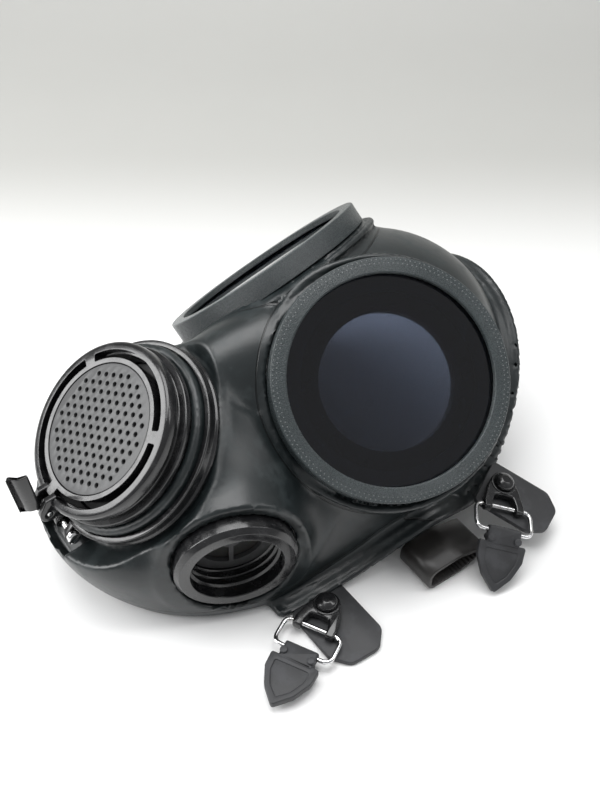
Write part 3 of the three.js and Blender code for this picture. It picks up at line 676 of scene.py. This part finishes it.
def speechHousing():
    s = speech
    pocket = grille["r"] + gap
    ledgeFront, ledgeBack = s["ledge"]
    profile = [
        (pocket, 0, 0.25), (s["rimR"] - 0.2, 0, 2.2), (s["rimR"], 5.2, 1.2), (s["grooveR"], 6.2, 0.8),
        (s["grooveR"], 8.8, 0.8), (s["ridgeR"], 9.6, 0.7), (s["ridgeR"], 12.5, 0.7), (s["spigotR"], 12.7, 0.2),
        (s["spigotR"], s["length"], 0.6), (s["boreR"], s["length"], 0.6), (s["boreR"], s["plate"], 0.5),
        (s["hubR"], s["plate"], 0.5), (s["hubR"], s["hubDepth"], 0.4), (pocket, s["hubDepth"], 0.3),
        (pocket, ledgeBack, 0.2), (s["ledgeR"], ledgeBack, 0.2), (s["ledgeR"], ledgeFront, 0.2),
        (pocket, ledgeFront, 0.2),
    ]
    housing = turned("speechHousing", profile, "gloss_plastic", 192)
    step = 360 / slots["count"]
    tools = []
    for i in range(slots["count"]):
        start = slots["firstDeg"] + i * step + slots["spokeDeg"] / 2
        end = start + step - slots["spokeDeg"]
        outer = arc(slots["outerR"], start, end, 40)
        inner = arc(slots["innerR"], end, start, 40)
        outline = []
        for side in (outer, inner):
            outline += [(*side[0], slots["corner"]), *side[1:-1], (*side[-1], slots["corner"])]
        tools.append(plate(f"slotTool{i}", [softened(outline)], 8, "gloss_plastic", 0.01))
    notch = softened([(-44, -2.2), (-34.2, -2.2, 1.2), (-34.2, 2.2, 1.2), (-44, 2.2)])
    tools.append(plate("notchTool", [notch], 13, "gloss_plastic", 0.01))
    carve(housing, tools)
    pivot = speechFrame.inverted() @ leverPivot / mm
    hooks = []
    for side in (-1, 1):  # ears beside the lever, in the plane of the unit's axis
        ear = arc(4.0, 100, 262, 16) + [(3.0, -4.2), (6.2, -3.4), (8.2, -1.0), (8.4, 3.2), (4.5, 5.6)]
        hook = plate("hook", [ear, circle(1.35, 20)], 3, "gloss_plastic", 0.45)
        stand = Matrix.Translation((pivot.x, side * 3.5, pivot.z)) @ Matrix.Rotation(math.radians(90), 4, "X")
        hooks.append(shifted(hook, stand))
    whole = joined("speechHousingBody", [housing, *hooks])
    seat(whole, speechFrame, "mask", "speech_housing")


def speechGrille():
    rowHeight = grille["pitch"] * math.sqrt(3) / 2
    rows = int(grille["fieldR"] / rowHeight)
    loops = [circle(grille["r"], 128)]
    for row in range(-rows, rows + 1):
        shift = 0 if row % 2 == 0 else grille["pitch"] / 2
        for k in range(-8, 9):
            x, y = k * grille["pitch"] + shift, row * rowHeight
            if math.hypot(x, y) <= grille["fieldR"]:
                loops.append(circle(grille["holeR"], 18, x, y))
    disc = plate("speechGrilleDisc", loops, grille["thick"], "satin_plastic", 0.16,
                 -grille["inset"] - grille["thick"] / 2)
    seat(disc, speechFrame, "mask", "speech_grille")


clamp = {"bandR": 41.1, "thick": 2, "front": 17, "width": 7, "vTurn": 128, "vHigh": 3.2, "vWide": 7}
screwAxis = Vector(joints["clamp_screw_turn"]["pos_m"])


def clampBand():  # a rolled band with raised edges and one V fold, and its two lugs
    c = clamp
    outer, inner = c["bandR"] + c["thick"], c["bandR"]
    back = c["front"] + c["width"]
    profile = [
        (inner, c["front"], 0.2), (outer + 0.3, c["front"], 0.5), (outer + 0.3, c["front"] + 1.4, 0.4),
        (outer - 0.5, c["front"] + 2.1, 0.4), (outer - 0.5, back - 2.1, 0.4), (outer + 0.3, back - 1.4, 0.4),
        (outer + 0.3, back, 0.5), (inner, back, 0.2),
    ]
    band = turned("clampBandLoop", profile, "gloss_plastic", 360)
    for v in band.data.vertices:
        turn = math.degrees(math.atan2(v.co.y, v.co.x))
        fold = max(0.0, 1 - abs(turn - c["vTurn"]) / c["vWide"])
        radius = math.hypot(v.co.x, v.co.y)
        stretch = 1 + c["vHigh"] * mm * fold / radius
        v.co.x *= stretch
        v.co.y *= stretch
    split = plate("splitTool", [[(-60, -3), (-30, -3), (-30, 3), (-60, 3)]], 80, "gloss_plastic", 0.01)
    carve(band, [split])
    pivot = speechFrame.inverted() @ screwAxis / mm
    pieces = [band]
    for side in (-1, 1):
        lug = softened([(-c["bandR"] + 1.6, -back + 0.1, 0.6), (-c["bandR"] + 1.6, -c["front"] - 0.1, 0.6),
                        (-c["bandR"] - 9, -c["front"] - 0.1, 3), (-c["bandR"] - 9, -back + 0.1, 3)])
        hole = circle(2.2, 24, pivot.x, pivot.z)
        plateLug = plate("lug", [lug, hole], 3, "gloss_plastic", 0.4)
        stand = Matrix.Translation((0, side * 4.5, 0)) @ Matrix.Rotation(math.radians(90), 4, "X")
        pieces.append(shifted(plateLug, stand))
    seat(joined("clampBandBody", pieces), speechFrame, "mask", "clamp_band")


def clampScrew():
    axis = Vector(joints["clamp_screw_turn"]["axis"])
    across = speechFrame.to_3x3() @ Vector((1, 0, 0))
    matrix = pointingFrame(screwAxis, screwAxis + across, z=axis)
    head = turned("clampScrewBody", [
        (0, -8.9), (2.6, -8.9, 0.6), (3.4, -8.2, 0.5), (3.4, -6.3, 0.3), (1.9, -6.3, 0.1),
        (1.9, 9.4, 0.5), (0, 9.6),
    ], "chrome_wire", 48)
    slotTool = plate("screwSlot", [[(-5, -0.5), (5, -0.5), (5, 0.5), (-5, 0.5)]], 2.4, "chrome_wire", 0.01, 8.9)
    carve(head, [slotTool])
    seat(head, matrix, "clamp_screw", "clamp_screw")
    hexagon = softened([(*corner, 0.5) for corner in circle(3.5, 6)])
    nut = plate("clampNutBody", [hexagon, circle(2.2, 24)], 2.6, "chrome_wire", 0.3, -7.6)
    seat(nut, matrix, "mask", "clamp_nut")


def drinkingLever():  # barrel and arm in the unit's frame, blade standing upright beside the chin
    toUnit = speechFrame.inverted()
    pivot = toUnit @ leverPivot / mm
    stand = Matrix.Translation(pivot) @ Matrix.Rotation(math.radians(90), 4, "X")
    barrel = plate("leverBarrel", [circle(2.2, 32), circle(1.35, 24)], 3.4, "gloss_plastic", 0.25)
    arm = softened([(-2.0, 0.5), (2.0, 0.5), (1.0, -11, 0.8), (-3.5, -11, 0.8)])
    armPlate = plate("leverArm", [arm], 3.2, "gloss_plastic", 0.5)
    outside = [(x, 0.9 - 1.5 * math.cos(x * math.pi / 8)) for x in np.linspace(-3.4, 3.6, 14)]
    channel = softened([(-4.4, -1.3, 0.5), *outside, (4.2, 1.4, 0.3), (3.4, 2.3, 0.6), (0, 1.2), (-3.4, 1.8, 0.6),
                        (-4.4, 1.6, 0.5)])
    blade = plate("leverBlade", [channel], 19, "gloss_plastic", 0.35)
    place = Matrix.Translation(ground + Vector((-35, 0, 62))) @ Matrix.Rotation(-0.61, 4, "Z")
    place = place @ Matrix.Rotation(math.radians(-6), 4, "Y")
    unit = toUnit.copy()
    unit.translation /= mm
    parts = [shifted(barrel, stand), shifted(armPlate, stand), shifted(blade, unit @ place)]
    seat(joined("drinkingLeverBody", parts), speechFrame, "drinking_lever", "drinking_lever")
    pin = turned("leverPinBody", [(0, -5.0), (1.1, -5.0, 0.3), (1.1, 5.0, 0.3), (0, 5.0)], "chrome_wire", 32)
    seat(pin, pointingFrame(leverPivot, leverPivot + Vector((1, 0, 0)), z=joints["drinking_lever_turn"]["axis"]),
         "mask", "lever_pin")


speechHousing()
speechGrille()
clampBand()
clampScrew()
drinkingLever()
print("speech unit made")


# Filter port
thread = {"pitch": 3.6, "turns": 3.2, "depth": 1.1, "first": 3.4, "segments": 120}


def portConnector():
    p = port
    ring = turned("portRing", [
        (p["boreR"], 0, 0.5), (p["r"] - 1.9, 0, 0.6), (p["r"], 2.0, 0.9), (p["r"], p["collar"], 0.3),
        (p["spigotR"], p["collar"], 0.2), (p["spigotR"], p["length"], 0.4), (p["boreR"] - 2, p["length"], 0.4),
        (p["boreR"] - 2, p["step"], 0.3), (p["boreR"], p["step"], 0.2),
    ], "gloss_plastic", 192)
    t = thread
    section = [(0.2, -0.8), (-0.75, -0.25), (-t["depth"], 0), (-0.75, 0.25), (0.2, 0.8)]  # radius in, depth
    count = int(t["segments"] * t["turns"])
    points = []
    for i in range(count + 1):
        turn = i / t["segments"]
        fade = min(1.0, 6 * i / t["segments"], 6 * (count - i) / t["segments"])
        for radial, along in section:
            radius = p["boreR"] + (radial * fade if radial < 0 else radial)
            depth = t["first"] + turn * t["pitch"] + along
            angle = 2 * math.pi * turn
            points.append((radius * math.cos(angle), radius * math.sin(angle), -depth))
    n = len(section)
    faces = [(i * n + j, i * n + (j + 1) % n, (i + 1) * n + (j + 1) % n, (i + 1) * n + j)
             for i in range(count) for j in range(n)]
    faces += [tuple(range(n)), tuple(range(count * n, count * n + n))]
    helix = meshPiece("portThread", points, faces, "gloss_plastic")
    seat(joined("portConnectorBody", [ring, helix]), portFrame, "mask", "port_connector")


portConnector()


# Eyepieces
def eyepiece(side):
    c = cover
    matrix = eyeFrames[side]
    pocket = c["r"] - c["wall"]
    ring = turned(side + "CoverRing", [
        (c["lipR"], 0.3, 0.3), (c["lipR"] + 0.6, 0, 0.3), (c["r"] - 0.1, 0, 0.9), (c["r"], c["depth"], 0.4),
        (pocket, c["depth"], 0.2), (pocket, c["lip"], 0.2), (c["lipR"], c["lip"], 0.3),
    ], "printed_plastic", 256)
    seat(ring, matrix, "mask", side + "_cover_ring")
    front = c["lip"] + gap
    back = front + c["lensThick"]
    lens = turned(side + "CoverLens", [
        (0, front), (pocket - gap, front, 0.3), (pocket - gap, back, 0.3), (0, back),
    ], "dark_lens", 192)
    seat(lens, matrix, "mask", side + "_cover_lens")
    rimRing = turned(side + "EyeRim", [
        (31.9, 6.6, 0.4), (37.6, 6.6, 1.2), (37.6, 9.5, 0.4), (eyeTubeR, 9.5, 0.3), (eyeTubeR, 17.5, 0.5),
        (29.5, 17.5, 0.5), (29.5, 10.4, 0.3), (31.9, 10.4, 0.2),
    ], "gloss_plastic", 160)
    seat(rimRing, matrix, "mask", side + "_eye_rim")


for side in ("left", "right"):
    eyepiece(side)
print("eyepieces made")


# Harness buckles
tab = {"long": 36, "wide": 27, "thick": 2.4, "inset": 8}
ringSize = {"wide": 26, "deep": 13, "wireR": 1.0, "round": 4}


def tabPiece(site, matrix):
    x0, x1, half = -tab["inset"], tab["long"] - tab["inset"], tab["wide"] / 2
    outline = softened([(x0, -half, 3), (x1 - 9, -half, 5), (x1 - 1, -half + 6, 5), (x1, half - 7, 6),
                        (x1 - 7, half, 5), (x0, half, 3)], 8)
    loops = [outline, circle(2.4, 24)]
    piece = plate("tabPlate_" + site, loops, tab["thick"], "tab_rubber", 0.5, -tab["thick"] / 2)
    seat(piece, matrix, "mask", "tab_" + site)


def studPiece(site, matrix):
    top = 4.8
    piece = turned("studHead_" + site, [
        (0, -top - 3.4), (2.0, -top - 3.3, 1.4), (4.4, -top - 2.2, 2.0), (4.8, -top, 0.6), (2.1, -top, 0.2),
        (2.1, 2.4, 0.2), (0, 2.4),
    ], "gloss_plastic", 64)
    seat(piece, matrix, "mask", "stud_" + site)


def linkPiece(site, matrix):
    boss = arc(6.0, 112, 248, 24)
    outline = softened([
        *boss, (2.4, -7.6, 2), (10.6, -9.6, 0.8), (14.4, -9.6, 1.2), (14.4, -5.6, 0.8), (10.8, -5.4, 1.2),
        (6.6, -4.2, 1.6), (6.2, 0, 1), (6.6, 4.2, 1.6), (10.8, 5.4, 1.2), (14.4, 5.6, 0.8),
        (14.4, 9.6, 1.2), (10.6, 9.6, 0.8), (2.4, 7.6, 2),
    ])
    body = plate("linkPlate_" + site, [outline, circle(2.4, 24)], 4.2, "gloss_plastic", 0.9, gap + 2.1)
    collar = turned("linkCollar", [(4.9, -gap - 4.7, 0.2), (5.9, -gap - 4.7, 0.4), (6.0, -gap - 0.4, 0.2),
                                   (4.9, -gap - 0.4, 0.2)], "gloss_plastic", 48)
    bore = turned("wireTool", [(0, -14), (1.3, -14), (1.3, 14), (0, 14)], "gloss_plastic", 24)
    shifted(bore, Matrix.Translation((12, 0, gap + 2.1)) @ Matrix.Rotation(math.radians(90), 4, "X"))
    carve(body, [bore])
    seat(joined("linkBody_" + site, [body, collar]), matrix, "link_" + site, "link_" + site)


def ringPiece(site, matrix):
    half, r = ringSize["wide"] / 2, ringSize["round"]
    deep = ringSize["deep"]
    loop = softened([(0, -half, r), (deep, -half, r), (deep, half, r), (0, half, r)], 10)
    piece = wireLoop("wireRing_" + site, [(x, y, 0) for x, y in loop], ringSize["wireR"], "chrome_wire")
    seat(piece, matrix, "ring_" + site, "ring_" + site)


def pullPiece(site, matrix):
    half = 11.25
    shield = softened([(5.0, -half + 0.4, 1.2), (12, -half + 0.8, 3), (20, -half + 4.6, 6), (27, 0, 1.6),
                       (20, half - 4.6, 6), (12, half - 0.8, 3), (5.0, half - 0.4, 1.2)], 8)
    blade = plate("pullBlade", [shield], 2.4, "tab_rubber", 0.6)
    well = softened([(8, -half + 3.6, 1), (13, -half + 4.0, 3), (19, -half + 7, 4), (23, 0, 1),
                     (19, half - 7, 4), (13, half - 4.0, 3), (8, half - 3.6, 1)], 8)
    border = plate("pullBorder", [shield, well], 3.3, "tab_rubber", 0.45)
    neck = plate("pullNeck", [softened([(-2.0, -7.6, 1), (6.5, -7.6, 0.5), (6.5, 7.6, 0.5), (-2.0, 7.6, 1)])],
                 4.2, "tab_rubber", 1.0)
    bore = turned("pullBore", [(0, -14), (1.3, -14), (1.3, 14), (0, 14)], "tab_rubber", 24)
    shifted(bore, Matrix.Rotation(math.radians(90), 4, "X"))
    carve(neck, [bore])
    posts = []
    for y in (-6.2, 6.2):
        post = plate("pullPost", [circle(1.7, 24)], 6.4, "tab_rubber", 0.5)
        posts.append(shifted(post, Matrix.Translation((3.2, y, 0))))
    seat(joined("pullTab_" + site, [blade, border, neck, *posts]), matrix, "pull_tab_" + site, "pull_tab_" + site)


for site in ("lower_left", "upper_left", "lower_right", "upper_right"):
    swivel, tilt, pull = (joints[f"{kind}_{site}"] for kind in ("link_swivel", "ring_tilt", "pull_tab_tilt"))
    tabPiece(site, pointingFrame(swivel["pos_m"], corners("tab_" + site).mean(0), z=swivel["axis"]))
    studPiece(site, pointingFrame(swivel["pos_m"], tilt["pos_m"], z=swivel["axis"]))
    linkPiece(site, pointingFrame(swivel["pos_m"], tilt["pos_m"], z=swivel["axis"]))
    ringPiece(site, pointingFrame(tilt["pos_m"], pull["pos_m"], y=tilt["axis"]))
    pullPiece(site, pointingFrame(pull["pos_m"], corners("pull_tab_" + site).mean(0), y=pull["axis"]))
print("buckles made")


# Strap loops
loopShape = {"thick": 1.8, "ribPitch": 2.0, "ribDeep": 0.4, "steps": 220}


def strapLoop(side):
    low, high = (Vector(c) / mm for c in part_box("strap_loop_" + side))
    long, tall = high.x - low.x, high.z - low.z
    guide = softened([(0, 0, 5.4), (long * 0.55, 0, 9), (long, tall * 0.42, 1.6), (long * 0.96, tall * 0.62, 1.2),
                      (long * 0.5, tall, 12), (0, tall * 0.94, 6.4)], 14)
    closed = np.vstack([guide, guide[:1]])
    lengths = np.concatenate([[0], np.cumsum(np.linalg.norm(np.diff(closed, axis=0), axis=1))])
    stations = np.linspace(0, lengths[-1], loopShape["steps"], endpoint=False)
    line = np.stack([np.interp(stations, lengths, closed[:, k]) for k in range(2)], axis=1)
    along = np.roll(line, -1, axis=0) - np.roll(line, 1, axis=0)
    along /= np.linalg.norm(along, axis=1)[:, None]
    inward = np.stack([-along[:, 1], along[:, 0]], axis=1)
    ribs = loopShape["ribDeep"] * (0.5 + 0.5 * np.cos(stations * 2 * math.pi / loopShape["ribPitch"]))
    wide = high.y - low.y
    across = [(0.0, 0.35), (0.35, 0.0), (wide - 0.35, 0.0), (wide, 0.35), (wide, loopShape["thick"] - 0.3),
              (wide - 0.5, loopShape["thick"]), (0.5, loopShape["thick"]), (0.0, loopShape["thick"] - 0.3)]
    points = []
    for (x, z), (nx, nz), rib in zip(line, inward, ribs):
        for y, depth in across:
            reach = depth + (rib if depth > 1 else 0)
            points.append((low.x + x + nx * reach, low.y + y, low.z + z + nz * reach))
    n, count = len(across), loopShape["steps"]
    faces = [(i * n + j, i * n + (j + 1) % n, ((i + 1) % count) * n + (j + 1) % n, ((i + 1) % count) * n + j)
             for i in range(count) for j in range(n)]
    piece = meshPiece("strapLoop_" + side, points, faces, "strap_rubber", 50)
    seat(piece, Matrix.Identity(4), "mask", "strap_loop_" + side)


for side in ("left", "right"):
    strapLoop(side)
print("strap loops made")

# Floor, lights and camera
studio = {
    "camera": (-170.0, -267.2, 348.3), "target": (-3.6, -28.0, 74.3), "lens": 42.75,
    # the last two entries, in mm along the view, say where the white sweep is painted grey with distance as
    # painted shade, and where it turns a little lighter again
    "floor": (0.93, 0.93, 0.925), "world": 0.40, "paintedShadeFrom": (60, 330), "paintedShadeLiftFrom": (420, 900),
    "lights": [("keySoftbox", (-720, 420, 560), (620, 620), 8.0),  # name, place, size, watts
               ("overheadSoftbox", (60, 150, 1100), (1000, 700), 11.0),
               ("rightStrip", (620, -480, 760), (160, 600), 1.6)],
}


def floorAndBackdrop():  # a sweep: flat under the object, curving up behind it
    towards = Vector(studio["target"]) - Vector(studio["camera"])
    away = Vector((towards.x, towards.y, 0)).normalized()
    aside = Vector((away.y, -away.x, 0))
    bend, wall = 620, 1500
    profile = [(-2500, 0), (bend, 0)]
    profile += [(bend + 500 * math.sin(a), 500 - 500 * math.cos(a)) for a in np.radians(range(6, 91, 6))]
    profile += [(bend + 500, wall)]
    points = [away * d + aside * s + Vector((0, 0, z)) for d, z in profile for s in (-3000, 3000)]
    faces = [(2 * i, 2 * i + 1, 2 * i + 3, 2 * i + 2) for i in range(len(profile) - 1)]
    f = Finish("paleSweep")
    place = f.place()
    distance = f.node("VectorMath", {"operation": "DOT_PRODUCT"}, {0: place, 1: away}, out=1)
    # painted shade: the pale floor is painted grey from 60 to 330 mm along the view, then a little lighter again
    # from 420 to 900 mm, standing in for the light falling off over the sweep
    shadeByDistance = f.between(distance, *studio["paintedShadeFrom"])
    shade = f.blend(shadeByDistance, studio["floor"], (0.44, 0.44, 0.42))
    shade = f.blend(f.between(distance, *studio["paintedShadeLiftFrom"]), shade, (0.62, 0.62, 0.60))
    shade = f.blend(f.noise(place, 60, 3) * 0.03, shade, (0.8, 0.8, 0.8))
    material = f.finished(Base_Color=shade, Roughness=0.65)
    data = bpy.data.meshes.new("sweep")
    data.from_pydata([tuple(p * mm) for p in points], [], faces)
    data.shade_smooth()
    data.materials.append(material)
    sweep = bpy.data.objects.new("sweep", data)
    bpy.context.scene.collection.objects.link(sweep)


def areaLight(name, place, target, size, power, tint=(1, 1, 1)):
    lamp = bpy.data.lights.new(name, "AREA")
    lamp.shape = "RECTANGLE"
    lamp.size, lamp.size_y = size[0] * mm, size[1] * mm
    lamp.energy = power
    lamp.color = tint
    holder = bpy.data.objects.new(name, lamp)
    holder.location = Vector(place) * mm
    holder.rotation_euler = (Vector(target) - Vector(place)).to_track_quat("-Z", "Y").to_euler()
    bpy.context.scene.collection.objects.link(holder)


def camera():
    data = bpy.data.cameras.new("camera")
    data.lens = studio["lens"]
    data.sensor_width = 36
    data.clip_start, data.clip_end = 0.01, 20
    eye = bpy.data.objects.new("camera", data)
    eye.location = Vector(studio["camera"]) * mm
    gaze = Vector(studio["target"]) - Vector(studio["camera"])
    eye.rotation_euler = gaze.to_track_quat("-Z", "Y").to_euler()
    bpy.context.scene.collection.objects.link(eye)
    bpy.context.scene.camera = eye


def world():
    sky = bpy.data.worlds.new("studio")
    bpy.context.scene.world = sky
    sky.use_nodes = True
    back = sky.node_tree.nodes["Background"]
    back.inputs["Color"].default_value = (0.97, 0.98, 1.0, 1)
    back.inputs["Strength"].default_value = studio["world"]


floorAndBackdrop()
for name, place, size, power in studio["lights"]:
    areaLight(name, place, studio["target"], size, power)
camera()
world()
bpy.context.scene.view_settings.view_transform = "Standard"
print("stage made")
